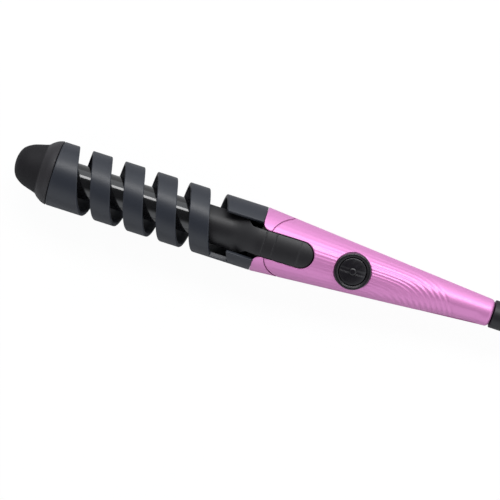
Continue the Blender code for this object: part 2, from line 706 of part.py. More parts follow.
# ---------------------------------------------------------------- swivel and cord

def build_swivel(pivot):
    bore = 1.8 * MM
    neck = 4.6 * MM
    core = 3.0 * MM
    front = 128 * MM
    shoulder = 139.4 * MM
    profile = [(front, bore), (front, core), (shoulder, core), (shoulder, neck),
               (SWIVEL_FRONT_X, neck), (SWIVEL_FRONT_X, SWIVEL_RADIUS - 0.8 * MM),
               (SWIVEL_FRONT_X + 0.8 * MM, SWIVEL_RADIUS), (SWIVEL_END_X - 1.5 * MM, SWIVEL_RADIUS),
               (SWIVEL_END_X, SWIVEL_RADIUS - 1.5 * MM), (SWIVEL_END_X, 4.0 * MM),
               (SWIVEL_END_X - 10 * MM, 4.0 * MM), (SWIVEL_END_X - 10 * MM, bore)]
    add_object("swivel_sleeve", turned(profile, MEDIUM), "gloss_black", pivot)
    for name, x in SLIP_RINGS_X.items():
        ring = tube(x, x + 2 * MM, core + GAP, 4.2 * MM, MEDIUM)
        add_object(f"slip_ring_{name}", ring, "brass", pivot)
    washer = tube(137.6 * MM, 138.8 * MM, core + GAP, 5.8 * MM, MEDIUM)
    add_object("swivel_retaining_ring", washer, "steel", pivot)

    relief_front = SWIVEL_END_X - 9.4 * MM
    relief_end = 190 * MM
    bore = CORD_RADIUS + GAP
    neck = 3.9 * MM - GAP
    profile = [(relief_front, bore), (relief_front, neck)]
    profile += [(SWIVEL_END_X + GAP, neck)]
    ribs = 5
    pitch = (relief_end - SWIVEL_END_X - GAP) / ribs
    for index in range(ribs):
        start = SWIVEL_END_X + GAP + index * pitch
        radius = (6.0 - 0.35 * index) * MM
        profile += [(start, radius), (start + 0.65 * pitch, radius - 0.2 * MM)]
        if index < ribs - 1:
            profile += [(start + 0.65 * pitch, 4.2 * MM), (start + pitch, 4.2 * MM)]
    profile += [(relief_end, 4.3 * MM), (relief_end, bore)]
    add_object("strain_relief", turned(profile, MEDIUM), "rubber_black", pivot)

    cord_front = SWIVEL_END_X - 9.4 * MM
    cord = add_object("power_cord", rod(cord_front, CORD_END_X, CORD_RADIUS, MEDIUM),
                      "rubber_black", pivot)
    for name, sign, finish_name in (("live", 1, "wire_red"), ("neutral", -1, "wire_blue")):
        centre = (sign * CORE_OFFSET, 0)
        hole = rod(cord_front - 5 * MM, CORD_END_X + 5 * MM, 1.25 * MM, COARSE, centre)
        combine(cord, cutter(f"cut_core_{name}", hole), "DIFFERENCE")
        wire_core = rod(cord_front + 1 * MM, CORD_END_X - 0.2 * MM, 0.95 * MM, COARSE, centre)
        add_object(f"cord_core_{name}", wire_core, finish_name, pivot)


def build_bearing():
    bush = tube(139.9 * MM, 142.8 * MM, 4.9 * MM, 6.4 * MM, MEDIUM)
    add_object("swivel_bush", bush, "heat_nylon")
    for name, sign in (("live", 1), ("neutral", -1)):
        x = SLIP_RINGS_X[name]
        low, high = sorted((sign * 4.5 * MM, sign * 5.1 * MM))
        finger = box((x + 0.2 * MM, -1.5 * MM, low), (x + 1.8 * MM, 1.5 * MM, high))
        add_object(f"brush_{name}", finger, "brass")


def main():
    clear_scene()
    add_empty(FRAME_NAME, (-MIDDLE_X, 0, 0))
    clip_pivot = add_joint_empty("clip_pivot", (PIVOT_X, 0, PIVOT_Z))
    normal = switch_frame().to_3x3() @ Vector((0, 0, 1))
    rocker_axis_point = switch_frame().translation - normal * 1.5 * MM
    slope = (0, math.atan(HANDLE_TAPER), 0)
    rocker_pivot = add_joint_empty("rocker_pivot", rocker_axis_point, slope)
    swivel_pivot = add_joint_empty("swivel_pivot", (SWIVEL_FRONT_X, 0, 0))
    build_tip()
    build_cage()
    build_barrel()
    build_heater()
    build_holder()
    build_lever(clip_pivot)
    build_lever_spring()
    build_handle()
    build_switch(rocker_pivot)
    build_board()
    build_leads()
    build_bearing()
    build_swivel(swivel_pivot)


main()
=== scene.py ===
"""Looks of the spiral hair curler: fine shells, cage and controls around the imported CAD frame."""

import json
import math

import bmesh
import bpy
from mathutils import Matrix, Vector


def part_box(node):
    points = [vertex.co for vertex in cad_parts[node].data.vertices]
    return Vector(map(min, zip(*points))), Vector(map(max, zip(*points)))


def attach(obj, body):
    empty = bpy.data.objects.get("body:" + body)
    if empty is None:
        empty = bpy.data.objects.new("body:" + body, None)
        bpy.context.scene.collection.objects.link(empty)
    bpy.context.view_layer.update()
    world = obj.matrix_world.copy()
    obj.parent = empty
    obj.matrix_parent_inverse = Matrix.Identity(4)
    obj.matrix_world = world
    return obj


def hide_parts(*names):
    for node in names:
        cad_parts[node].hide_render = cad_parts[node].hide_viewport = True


MM = 0.001
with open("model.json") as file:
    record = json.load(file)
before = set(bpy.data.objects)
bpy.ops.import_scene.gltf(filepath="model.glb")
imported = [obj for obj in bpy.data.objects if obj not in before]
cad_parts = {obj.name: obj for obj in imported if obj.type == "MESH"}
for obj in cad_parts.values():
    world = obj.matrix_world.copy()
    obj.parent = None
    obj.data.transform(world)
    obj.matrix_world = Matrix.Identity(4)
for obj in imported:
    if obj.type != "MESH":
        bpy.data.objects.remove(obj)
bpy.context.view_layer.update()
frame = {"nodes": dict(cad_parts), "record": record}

# X values below count from the shoulder, where the cage meets the handle
SHOULDER = Vector((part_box("handle_back_shell")[0].x - 0.15 * MM, 0, 0))


def box_from_shoulder(node):
    return [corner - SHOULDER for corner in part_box(node)]


# Places and sizes that come from the frame
CAGE_LOW, CAGE_HIGH = box_from_shoulder("spiral_cage")
TIP_LOW = box_from_shoulder("tip_cap")[0]
BARREL_LOW, BARREL_HIGH = box_from_shoulder("heat_barrel")
LEVER_LOW, LEVER_HIGH = box_from_shoulder("clip_lever")
BACK_LOW, BACK_HIGH = box_from_shoulder("handle_back_shell")
SWIVEL_LOW, SWIVEL_HIGH = box_from_shoulder("swivel_sleeve")
RELIEF_LOW, RELIEF_HIGH = box_from_shoulder("strain_relief")
CORD_LOW, CORD_HIGH = box_from_shoulder("power_cord")

CAGE_RADIUS = CAGE_HIGH.y - 0.03 * MM
CAGE_WALL = 2.4 * MM
CAGE_INNER = CAGE_RADIUS - CAGE_WALL
CAGE_REAR_X = 0.0
BARREL_RADIUS = BARREL_HIGH.z
SLOT_PITCH = 20.57 * MM
SLOT_WIDTH = 8.2 * MM
LAST_SLOT_WIDTH = 10.9 * MM
SLOT_ZERO_X = -108.3 * MM
SLOT_START_DEG = -174
SLOT_END_DEG = 1506
SLOT_WIDENS_DEG = (1170, 1270)
SLOT_SWAY = 1.7 * MM
SLOT_SWAY_DEG = 20
SLOT_STEP_DEG = 2.5
COLUMNS = round(360 / SLOT_STEP_DEG)
WINDOW_HALF_DEG = 37

HANDLE_TAPER = 0.0794
HANDLE_FRONT_RADIUS = BACK_HIGH.y - 0.02 * MM
HANDLE_WALL = 2.0 * MM
HANDLE_FRONT_X = BACK_LOW.x
HANDLE_END_X = BACK_HIGH.x
TAIL_CORNER = 2.6 * MM
CORD_HOLE = 5.0 * MM
SEAM = 0.15 * MM
SEAM_GAP = 0.3 * MM
SEAM_CLEAR_X = 34 * MM
SEAM_CLEAR_Y = 25 * MM
LEVER_SLOT_HALF_WIDTH = 8.4 * MM
LEVER_SLOT_END_X = 34.8 * MM
MOUTH_RADIUS = 4.4 * MM
MOUTH_X = 4.5 * MM

LEVER_FRONT_X = LEVER_LOW.x
LEVER_END_X = LEVER_HIGH.x
LEVER_THICKNESS = 1.7 * MM
JAW_RADIUS = 12.4 * MM
JAW_HALF_WIDTH = 11.4 * MM
TONGUE_HALF_WIDTH = 7.85 * MM
LEVER_RISE_X = (-20.0 * MM, 2.0 * MM)
LEVER_NECK_X = (-11.0 * MM, -5.0 * MM)
LEVER_GROOVES_X = (3.6 * MM, 10.0 * MM)
DISH_EDGE_X = 25.4 * MM
PIVOT_X = 2.5 * MM
PIVOT_Z = 13.0 * MM

SWITCH_X = 59.2 * MM
BEZEL_RADIUS = 11.15 * MM
BEZEL_BORE = 8.7 * MM
ROCKER_RADIUS = 8.3 * MM
SWIVEL_RADIUS = SWIVEL_HIGH.z
CORD_RADIUS = CORD_HIGH.z

ROUND = 144


# ---------------------------------------------------------------- materials

def shade(name):
    """A new node material: (material, its node tree, its Principled shader)."""
    material = bpy.data.materials.new(name)
    material.use_nodes = True
    tree = material.node_tree
    return material, tree, tree.nodes["Principled BSDF"]


def noise(tree, scale, detail=3.0, stretch=(1, 1, 1)):
    """Noise in object space, where scale counts features per metre."""
    place = tree.nodes.new("ShaderNodeTexCoord")
    mapping = tree.nodes.new("ShaderNodeMapping")
    mapping.inputs["Scale"].default_value = stretch
    texture = tree.nodes.new("ShaderNodeTexNoise")
    texture.inputs["Scale"].default_value = scale
    texture.inputs["Detail"].default_value = detail
    tree.links.new(place.outputs["Object"], mapping.inputs["Vector"])
    tree.links.new(mapping.outputs["Vector"], texture.inputs["Vector"])
    return texture.outputs["Fac"]


def spread(tree, value, low, high):
    """Maps noise, which stays near 0.5, to the range low to high."""
    node = tree.nodes.new("ShaderNodeMapRange")
    node.inputs["From Min"].default_value = 0.3
    node.inputs["From Max"].default_value = 0.7
    node.inputs["To Min"].default_value = low
    node.inputs["To Max"].default_value = high
    tree.links.new(value, node.inputs["Value"])
    return node.outputs["Result"]


def blend_colours(tree, factor, first, second):
    node = tree.nodes.new("ShaderNodeMix")
    node.data_type = "RGBA"
    node.inputs["A"].default_value = (*first, 1)
    node.inputs["B"].default_value = (*second, 1)
    tree.links.new(factor, node.inputs["Factor"])
    return node.outputs["Result"]


def bump(tree, height, strength, distance):
    node = tree.nodes.new("ShaderNodeBump")
    node.inputs["Strength"].default_value = strength
    node.inputs["Distance"].default_value = distance
    tree.links.new(height, node.inputs["Height"])
    return node.outputs["Normal"]


def worn_edges(tree, colour, lighter, amount):
    """Lightens sharp edges a little, where handling polishes them."""
    geometry = tree.nodes.new("ShaderNodeNewGeometry")
    mask = tree.nodes.new("ShaderNodeMapRange")
    mask.inputs["From Min"].default_value = 0.53
    mask.inputs["From Max"].default_value = 0.62
    mask.inputs["To Max"].default_value = amount
    tree.links.new(geometry.outputs["Pointiness"], mask.inputs["Value"])
    node = tree.nodes.new("ShaderNodeMix")
    node.data_type = "RGBA"
    node.inputs["B"].default_value = (*lighter, 1)
    tree.links.new(colour, node.inputs["A"])
    tree.links.new(mask.outputs["Result"], node.inputs["Factor"])
    return node.outputs["Result"]


def moulded_plastic(name, colour, roughness, grain=2600, depth=0.02, wear=0.25):
    """Moulded plastic: a fine spark-eroded grain, cloudy colour and roughness, lighter edges."""
    material, tree, shader = shade(name)
    darker = tuple(channel * 0.82 for channel in colour)
    lighter = tuple(min(channel * 2.2 + 0.02, 1) for channel in colour)
    cloud = noise(tree, 90, 4)
    base = blend_colours(tree, cloud, darker, colour)
    base = worn_edges(tree, base, lighter, wear)
    tree.links.new(base, shader.inputs["Base Color"])
    fine = noise(tree, grain, 2)
    rough = spread(tree, fine, roughness - 0.05, roughness + 0.07)
    tree.links.new(rough, shader.inputs["Roughness"])
    normal = bump(tree, fine, 0.35, depth * MM)
    tree.links.new(normal, shader.inputs["Normal"])
    return material


def tip_plastic(name, dome_colour, flare_colour_with_highlight):
    """Moulded plastic with a matt dome and a satin flare behind the tip's crease; the flare's lighter grey
    is partly its own satin finish and partly a painted highlight where the flare catches the light.
    """
    material = moulded_plastic(name, dome_colour, 0.66, 1900, 0.04)
    tree = material.node_tree
    shader = tree.nodes["Principled BSDF"]
    shader.inputs["Specular IOR Level"].default_value = 0.4
    place = tree.nodes.new("ShaderNodeTexCoord")
    parts = tree.nodes.new("ShaderNodeSeparateXYZ")
    tree.links.new(place.outputs["Object"], parts.inputs["Vector"])
    crease_x = (SHOULDER + TIP_LOW).x + 16.4 * MM
    crease = tree.nodes.new("ShaderNodeMapRange")
    crease.inputs["From Min"].default_value = crease_x
    crease.inputs["From Max"].default_value = crease_x + 1.0 * MM
    tree.links.new(parts.outputs["X"], crease.inputs["Value"])
    # Behind the crease the colour turns to the flare's lighter grey: partly its own finish, partly painted
    # highlight.
    colour = tree.nodes.new("ShaderNodeMix")
    colour.data_type = "RGBA"
    tree.links.new(shader.inputs["Base Color"].links[0].from_socket, colour.inputs["A"])
    colour.inputs["B"].default_value = (*flare_colour_with_highlight, 1)
    rough = tree.nodes.new("ShaderNodeMix")
    tree.links.new(shader.inputs["Roughness"].links[0].from_socket, rough.inputs["A"])
    rough.inputs["B"].default_value = 0.42
    for node, socket in ((colour, "Base Color"), (rough, "Roughness")):
        tree.links.new(crease.outputs["Result"], node.inputs["Factor"])
        tree.links.new(node.outputs["Result"], shader.inputs[socket])
    return material


def gloss_plastic(name, colour, roughness, coat=0.6):
    """Polished plastic: faint orange peel, and dust-fine changes in roughness."""
    material, tree, shader = shade(name)
    cloud = noise(tree, 140, 3)
    lighter = tuple(min(channel * 1.5 + 0.004, 1) for channel in colour)
    tree.links.new(blend_colours(tree, cloud, colour, lighter), shader.inputs["Base Color"])
    rough = spread(tree, noise(tree, 500, 4), roughness * 0.75, roughness * 1.35)
    tree.links.new(rough, shader.inputs["Roughness"])
    shader.inputs["Coat Weight"].default_value = coat
    shader.inputs["Coat Roughness"].default_value = 0.04
    normal = bump(tree, noise(tree, 260, 1), 0.12, 0.02 * MM)
    tree.links.new(normal, shader.inputs["Normal"])
    return material


def pearl_paint(name, colour, flake_colour):
    """Pearl paint: a metallic flake under a soft clear coat."""
    material, tree, shader = shade(name)
    flakes = spread(tree, noise(tree, 5200, 1), 0.0, 1.0)
    tree.links.new(blend_colours(tree, flakes, colour, flake_colour), shader.inputs["Base Color"])
    rough = spread(tree, noise(tree, 900, 3), 0.38, 0.47)
    tree.links.new(rough, shader.inputs["Roughness"])
    shader.inputs["Metallic"].default_value = 0.46
    shader.inputs["Coat Weight"].default_value = 0.25
    shader.inputs["Coat Roughness"].default_value = 0.25
    normal = bump(tree, noise(tree, 2400, 2), 0.10, 0.01 * MM)
    tree.links.new(normal, shader.inputs["Normal"])
    return material


def metal(name, colour, roughness, along=(1, 1, 1)):
    """Drawn or turned metal with a brushed grain."""
    material, tree, shader = shade(name)
    shader.inputs["Metallic"].default_value = 1.0
    brushed = noise(tree, 1500, 4, along)
    darker = tuple(channel * 0.75 for channel in colour)
    tree.links.new(blend_colours(tree, brushed, darker, colour), shader.inputs["Base Color"])
    rough = spread(tree, brushed, roughness - 0.08, roughness + 0.10)
    tree.links.new(rough, shader.inputs["Roughness"])
    tree.links.new(bump(tree, brushed, 0.2, 0.01 * MM), shader.inputs["Normal"])
    return material


def cord_rubber(name, colour):
    """Soft matt rubber with an extruded grain along the cord."""
    material, tree, shader = shade(name)
    streaks = noise(tree, 1800, 3, (0.15, 1, 1))
    lighter = tuple(channel * 1.7 for channel in colour)
    tree.links.new(blend_colours(tree, streaks, colour, lighter), shader.inputs["Base Color"])
    tree.links.new(spread(tree, streaks, 0.45, 0.62), shader.inputs["Roughness"])
    tree.links.new(bump(tree, streaks, 0.3, 0.02 * MM), shader.inputs["Normal"])
    return material


def make_materials():
    """Every slot's material, by its name in the record."""
    recipes = {
        "cage_plastic": (moulded_plastic, (0.0245, 0.028, 0.038), 0.38),
        # The tip's second colour is the flare's: lighter partly by its satin finish, partly by painted
        # highlight.
        "tip_plastic": (tip_plastic, (0.004, 0.003, 0.005), (0.024, 0.022, 0.025)),
        "lever_plastic": (moulded_plastic, (0.013, 0.012, 0.014), 0.44),
        "ceramic_coat": (gloss_plastic, (0.007, 0.007, 0.008), 0.12, 0.9),
        "pink_paint": (pearl_paint, (0.75, 0.245, 0.58), (0.88, 0.345, 0.71)),
        "gloss_black": (gloss_plastic, (0.006, 0.005, 0.007), 0.24, 0.1),
        "rubber_black": (cord_rubber, (0.018, 0.018, 0.020)),
        "steel": (metal, (0.60, 0.60, 0.61), 0.30),
        "aluminium": (metal, (0.75, 0.75, 0.76), 0.36, (0.1, 1, 1)),
        "brass": (metal, (0.76, 0.56, 0.25), 0.30),
        "heat_nylon": (moulded_plastic, (0.045, 0.036, 0.030), 0.58),
        "heater_ceramic": (moulded_plastic, (0.24, 0.23, 0.22), 0.70),
        "insulation": (gloss_plastic, (0.60, 0.32, 0.07), 0.32),
        "board": (gloss_plastic, (0.04, 0.20, 0.07), 0.40, 0.3),
        "wire_red": (gloss_plastic, (0.50, 0.03, 0.03), 0.40, 0.1),
        "wire_blue": (gloss_plastic, (0.03, 0.07, 0.42), 0.40, 0.1),
        "wire_white": (gloss_plastic, (0.72, 0.72, 0.70), 0.40, 0.1),
    }
    return {name: make(name, *values) for name, (make, *values) in recipes.items()}


# ---------------------------------------------------------------- shape helpers

def smooth_step(value, low, high):
    """0 below low, 1 above high, and an S-curve between."""
    share = min(max((value - low) / (high - low), 0.0), 1.0)
    return share * share * (3 - 2 * share)


def add_piece(name, shape, slot_name, body, nodes=(), sharp_deg=40):
    """Turns a bmesh into a piece that rides on a body and stands for CAD nodes."""
    bmesh.ops.recalc_face_normals(shape, faces=shape.faces)
    bmesh.ops.translate(shape, verts=shape.verts, vec=SHOULDER)
    mesh = bpy.data.meshes.new(name)
    shape.to_mesh(mesh)
    shape.free()
    mesh.shade_smooth()
    mesh.set_sharp_from_angle(angle=math.radians(sharp_deg))
    mesh.materials.append(MATERIALS[slot_name])
    obj = bpy.data.objects.new(name, mesh)
    bpy.context.scene.collection.objects.link(obj)
    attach(obj, body)
    if nodes:
        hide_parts(*nodes)
    return obj


def apply_modifiers(obj, sharp_deg=40):
    """Swaps the mesh for what its modifiers make, and drops the modifiers."""
    graph = bpy.context.evaluated_depsgraph_get()
    mesh = bpy.data.meshes.new_from_object(obj.evaluated_get(graph))
    obj.modifiers.clear()
    obj.data = mesh
    mesh.shade_smooth()
    mesh.set_sharp_from_angle(angle=math.radians(sharp_deg))


def cut(obj, shapes):
    """Cuts each bmesh out of the object."""
    for shape in shapes:
        bmesh.ops.recalc_face_normals(shape, faces=shape.faces)
        bmesh.ops.translate(shape, verts=shape.verts, vec=SHOULDER)
        mesh = bpy.data.meshes.new("cutter")
        shape.to_mesh(mesh)
        shape.free()
        tool = bpy.data.objects.new("cutter", mesh)
        bpy.context.scene.collection.objects.link(tool)
        modifier = obj.modifiers.new("cut", "BOOLEAN")
        modifier.operation = "DIFFERENCE"
        modifier.object = tool
        bpy.context.view_layer.update()
        apply_modifiers(obj)
        bpy.data.objects.remove(tool, do_unlink=True)


def round_edges(obj, width, segments=3, angle_deg=35):
    """Rounds every edge sharper than the angle, as a mould does."""
    modifier = obj.modifiers.new("rounding", "BEVEL")
    modifier.width = width
    modifier.segments = segments
    modifier.limit_method = "ANGLE"
    modifier.angle_limit = math.radians(angle_deg)
    modifier.use_clamp_overlap = True
    bpy.context.view_layer.update()
    apply_modifiers(obj)


def ring_points(count, radius, phase=0.0):
    """Points on a circle in the YZ plane, counted from +Z towards -Y."""
    angles = [2 * math.pi * (phase + index) / count for index in range(count)]
    return [(-radius * math.sin(angle), radius * math.cos(angle)) for angle in angles]


def skin(shape, rings):
    """Joins a closed loop of rings, where a ring of one point is a pole."""
    for first, second in zip(rings, rings[1:] + rings[:1]):
        count = max(len(first), len(second))
        if count == 1:
            continue
        for index in range(count):
            following = (index + 1) % count
            corners = [first[index % len(first)], first[following % len(first)],
                       second[following % len(second)], second[index % len(second)]]
            shape.faces.new(list(dict.fromkeys(corners)))


def turned(profile, segments=ROUND, centre=(0, 0)):
    """A solid of revolution about a line along X, from (x, radius) points."""
    shape = bmesh.new()
    rings = []
    for x, radius in profile:
        points = ring_points(segments, radius) if radius > 0 else [(0, 0)]
        rings.append([shape.verts.new((x, centre[0] + y, centre[1] + z)) for y, z in points])
    skin(shape, rings)
    return shape


def upright(profile, segments, matrix=Matrix.Identity(4)):
    """A solid of revolution about Z, from (z, radius) points, then placed by a matrix."""
    shape = turned(profile, segments)
    about_y = Matrix.Rotation(-math.pi / 2, 4, "Y")
    bmesh.ops.transform(shape, matrix=matrix @ about_y, verts=shape.verts)
    return shape


def softened(profile, radius, steps=4):
    """Rounds each corner of a closed (x, radius) profile, except those on the axis."""
    result = []
    count = len(profile)
    for index, point in enumerate(profile):
        here = Vector(point)
        if here.y <= 0:
            result.append(tuple(here))
            continue
        before = Vector(profile[index - 1]) - here
        after = Vector(profile[(index + 1) % count]) - here
        reach = min(radius, before.length * 0.45, after.length * 0.45)
        start = here + before.normalized() * reach
        end = here + after.normalized() * reach
        for step in range(steps + 1):
            share = step / steps
            near = start.lerp(here, share)
            far = here.lerp(end, share)
            result.append(tuple(near.lerp(far, share)))
    return result


def prism(outline, z_from, z_to):
    """A plan outline of (x, y) points extruded from z_from to z_to."""
    shape = bmesh.new()
    base = [shape.verts.new((x, y, z_from)) for x, y in outline]
    face = shape.faces.new(base)
    grown = bmesh.ops.extrude_face_region(shape, geom=[face])
    top = [item for item in grown["geom"] if isinstance(item, bmesh.types.BMVert)]
    bmesh.ops.translate(shape, verts=top, vec=(0, 0, z_to - z_from))
    return shape


def box(low, high, matrix=Matrix.Identity(4)):
    outline = [(low[0], low[1]), (high[0], low[1]), (high[0], high[1]), (low[0], high[1])]
    shape = prism(outline, low[2], high[2])
    bmesh.ops.transform(shape, matrix=matrix, verts=shape.verts)
    return shape


# ---------------------------------------------------------------- tip, cage and barrel

def curve_through(points, steps):
    """A Catmull-Rom curve through (x, radius) points."""
    vectors = [Vector(point) for point in points]
    padded = [2 * vectors[0] - vectors[1]] + vectors + [2 * vectors[-1] - vectors[-2]]
    result = []
    for index in range(1, len(padded) - 2):
        a, b, c, d = padded[index - 1:index + 3]
        for step in range(steps):
            t = step / steps
            point = 0.5 * (2 * b + (c - a) * t + (2 * a - 5 * b + 4 * c - d) * t * t
                           + (3 * b - a - 3 * c + d) * t ** 3)
            result.append(tuple(point))
    result.append(tuple(vectors[-1]))
    return result


def build_tip():
    """A blunt dome, a crease, then a flare that meets the cage."""
    x = TIP_LOW.x
    seam = CAGE_LOW.x - 0.3 * MM
    dome = [(x, 0), (x + 0.15 * MM, 2.6 * MM), (x + 0.7 * MM, 5.2 * MM), (x + 1.8 * MM, 7.9 * MM),
            (x + 3.6 * MM, 10.1 * MM), (x + 7.2 * MM, 12.4 * MM), (x + 10.9 * MM, 13.7 * MM),
            (x + 14.5 * MM, 14.7 * MM), (x + 16.6 * MM, 15.4 * MM)]
    flare = [(x + 17.2 * MM, 15.9 * MM), (x + 18.6 * MM, 17.2 * MM), (x + 21.0 * MM, 18.8 * MM),
             (x + 23.0 * MM, 19.6 * MM), (seam - 0.3 * MM, 19.95 * MM)]
    outer = curve_through(dome, 5) + curve_through(flare, 5) + [(seam, 19.6 * MM)]
    spigot = CAGE_INNER - 0.3 * MM
    spigot_end = CAGE_LOW.x + 2.4 * MM
    inside = [(seam, spigot), (spigot_end, spigot), (spigot_end, spigot - 2.4 * MM),
              (x + 18 * MM, 12.2 * MM), (x + 8 * MM, 9.4 * MM), (x + 3.4 * MM, 5.0 * MM),
              (x + 3.4 * MM, 3.6 * MM), (spigot_end, 3.6 * MM), (spigot_end, 1.4 * MM),
              (x + 12 * MM, 1.4 * MM), (x + 12 * MM, 0)]
    add_piece("tip_dome", turned(outer + inside), "tip_plastic", "root", ["tip_cap"], 30)


def slot_edges(degrees):
    """Front and rear X of the hair slot at an unwrapped angle."""
    sway = SLOT_SWAY * math.sin(math.radians(degrees - SLOT_SWAY_DEG))
    centre = SLOT_ZERO_X + SLOT_PITCH * degrees / 360 + sway
    extra = (LAST_SLOT_WIDTH - SLOT_WIDTH) * smooth_step(degrees, *SLOT_WIDENS_DEG)
    return centre - SLOT_WIDTH / 2, centre + SLOT_WIDTH / 2 + extra


def cage_columns():
    """For each angular column, its solid stretches: (left front, left rear, right front, right rear)."""
    first_slot = round(SLOT_START_DEG / SLOT_STEP_DEG)
    last_slot = round(SLOT_END_DEG / SLOT_STEP_DEG)
    columns = []
    for column in range(COLUMNS):
        ends = [(CAGE_LOW.x, CAGE_LOW.x)]
        for turn in range(-1, 6):
            index = column + turn * COLUMNS
            if first_slot <= index < last_slot:
                left = slot_edges(index * SLOT_STEP_DEG)
                right = slot_edges((index + 1) * SLOT_STEP_DEG)
                ends += [(left[0], right[0]), (left[1], right[1])]
        ends.append((CAGE_REAR_X, CAGE_REAR_X))
        stretches = [(ends[i][0], ends[i + 1][0], ends[i][1], ends[i + 1][1])
                     for i in range(0, len(ends), 2)]
        middle = (column + 0.5) * SLOT_STEP_DEG
        if min(middle, 360 - middle) < WINDOW_HALF_DEG:
            stretches.pop()
        columns.append(stretches)
    return columns


def build_cage():
    """One slotted tube: the helical hair slot, and the lever's window at the rear."""
    shape = bmesh.new()
    verts = {}

    def vert(column, x, radius):
        key = (column % COLUMNS, round(x * 1e7), round(radius * 1e7))
        if key not in verts:
            angle = math.radians((column % COLUMNS) * SLOT_STEP_DEG)
            verts[key] = shape.verts.new((x, -radius * math.sin(angle), radius * math.cos(angle)))
        return verts[key]

    def wall(first, first_x, second, second_x):
        """A face from the inner to the outer surface, between two places on the slot's edge."""
        shape.faces.new([vert(first, first_x, CAGE_INNER), vert(first, first_x, CAGE_RADIUS),
                         vert(second, second_x, CAGE_RADIUS), vert(second, second_x, CAGE_INNER)])

    columns = cage_columns()
    marks = []
    for column in range(COLUMNS):
        left = {x for stretch in columns[column] for x in stretch[:2]}
        before = {x for stretch in columns[column - 1] for x in stretch[2:]}
        marks.append(sorted(left | before))
    for column, stretches in enumerate(columns):
        following = (column + 1) % COLUMNS
        for left_front, left_rear, right_front, right_rear in stretches:
            left = [x for x in marks[column] if left_front <= x <= left_rear]
            right = [x for x in marks[following] if right_front <= x <= right_rear]
            for radius in (CAGE_INNER, CAGE_RADIUS):
                loop = [vert(column, x, radius) for x in left]
                loop += [vert(following, x, radius) for x in reversed(right)]
                shape.faces.new(loop)
            wall(column, left_front, following, right_front)
            wall(column, left_rear, following, right_rear)
    for column in range(COLUMNS):
        here = columns[column]
        before = columns[column - 1]
        for front, rear in zip(marks[column], marks[column][1:]):
            middle = (front + rear) / 2
            in_here = any(s[0] < middle < s[1] for s in here)
            in_before = any(s[2] < middle < s[3] for s in before)
            if in_here != in_before:
                wall(column, front, column, rear)
    cage = add_piece("cage_shell", shape, "cage_plastic", "root", ["spiral_cage"])
    round_edges(cage, 0.6 * MM, 4)

    front, rear = -4 * MM, 3.7 * MM
    hole = BARREL_RADIUS + 1 * MM
    profile = [(front, hole), (front, CAGE_INNER - 0.05 * MM), (rear, CAGE_INNER - 0.2 * MM), (rear, hole)]
    bulkhead = add_piece("cage_bulkhead", turned(softened(profile, 0.3 * MM), 96), "cage_plastic", "root")
    lever_gap = box((-6 * MM, -12 * MM, 6 * MM), (6 * MM, 12 * MM, 25 * MM))
    cut(bulkhead, [lever_gap])


def build_barrel():
    """The ceramic-coated tube, with a softened front lip."""
    bore = BARREL_RADIUS - 0.8 * MM
    profile = [(BARREL_LOW.x, bore), (BARREL_LOW.x, BARREL_RADIUS),
               (BARREL_HIGH.x, BARREL_RADIUS), (BARREL_HIGH.x, bore)]
    add_piece("barrel_tube", turned(softened(profile, 0.35 * MM)), "ceramic_coat", "root",
              ["heat_barrel"])


# ---------------------------------------------------------------- clip lever

def handle_radius(x):
    return HANDLE_FRONT_RADIUS - HANDLE_TAPER * x


def lever_radius(x):
    """Outer radius of the lever, with two grooves across the tongue's root and a thumb dish."""
    share = smooth_step(x, *LEVER_RISE_X)
    radius = JAW_RADIUS + (handle_radius(max(x, 0)) - 0.1 * MM - JAW_RADIUS) * share
    groove_size = 0.35 * MM
    for groove_x in LEVER_GROOVES_X:
        radius -= groove_size * math.exp(-((x - groove_x) / groove_size) ** 2)
    dish = smooth_step(x, DISH_EDGE_X - 0.8 * MM, DISH_EDGE_X + 0.8 * MM)
    return radius - 0.28 * MM * dish


def lever_half_width(x):
    share = smooth_step(x, *LEVER_NECK_X)
    width = JAW_HALF_WIDTH + (TONGUE_HALF_WIDTH - JAW_HALF_WIDTH) * share
    beyond = x - (LEVER_END_X - TONGUE_HALF_WIDTH)
    if beyond > 0:
        width = math.sqrt(max(TONGUE_HALF_WIDTH ** 2 - beyond ** 2, (0.3 * MM) ** 2))
    return width


def lever_stations():
    """Sections along the lever, closer together at its grooves and round end."""
    straight_end = LEVER_END_X - TONGUE_HALF_WIDTH
    stations = []
    x = LEVER_FRONT_X
    while x < straight_end:
        stations.append(x)
        near = min(abs(x - mark) for mark in (*LEVER_GROOVES_X, DISH_EDGE_X))
        x += 0.16 * MM if near < 1.2 * MM else 0.8 * MM
    round_steps = 30
    for index in range(round_steps):
        angle = math.pi / 2 * index / round_steps
        stations.append(straight_end + TONGUE_HALF_WIDTH * math.sin(angle))
    stations.append(LEVER_END_X)
    return stations


def build_lever():
    across = 48
    shape = bmesh.new()
    rings = []
    stations = lever_stations()
    for x in stations:
        outer = lever_radius(x)
        inner = outer - LEVER_THICKNESS
        limit = math.asin(min(lever_half_width(x) / outer, 1.0))
        angles = [limit * (2 * index / across - 1) for index in range(across + 1)]
        ring = [(outer * math.sin(a), outer * math.cos(a)) for a in angles]
        ring += [(inner * math.sin(a), inner * math.cos(a)) for a in reversed(angles)]
        rings.append([shape.verts.new((x, y, z)) for y, z in ring])
    count = len(rings[0])
    for first, second in zip(rings, rings[1:]):
        for index in range(count):
            following = (index + 1) % count
            shape.faces.new([first[index], first[following], second[following], second[index]])
    for ring in (rings[0], rings[-1]):
        for index in range(across):
            last = count - 1 - index
            shape.faces.new([ring[index], ring[index + 1], ring[last - 1], ring[last]])
    lever = add_piece("lever_shell", shape, "lever_plastic", "clip", ["clip_lever"])
    round_edges(lever, 0.5 * MM, 3, 50)
    for name, sign in (("left", 1), ("right", -1)):
        low, high = sorted((sign * 4.6 * MM, sign * 6.6 * MM))
        lug = add_piece(f"lever_lug_{name}", lug_shape(low, high), "lever_plastic", "clip")
        round_edges(lug, 0.25 * MM, 2, 50)


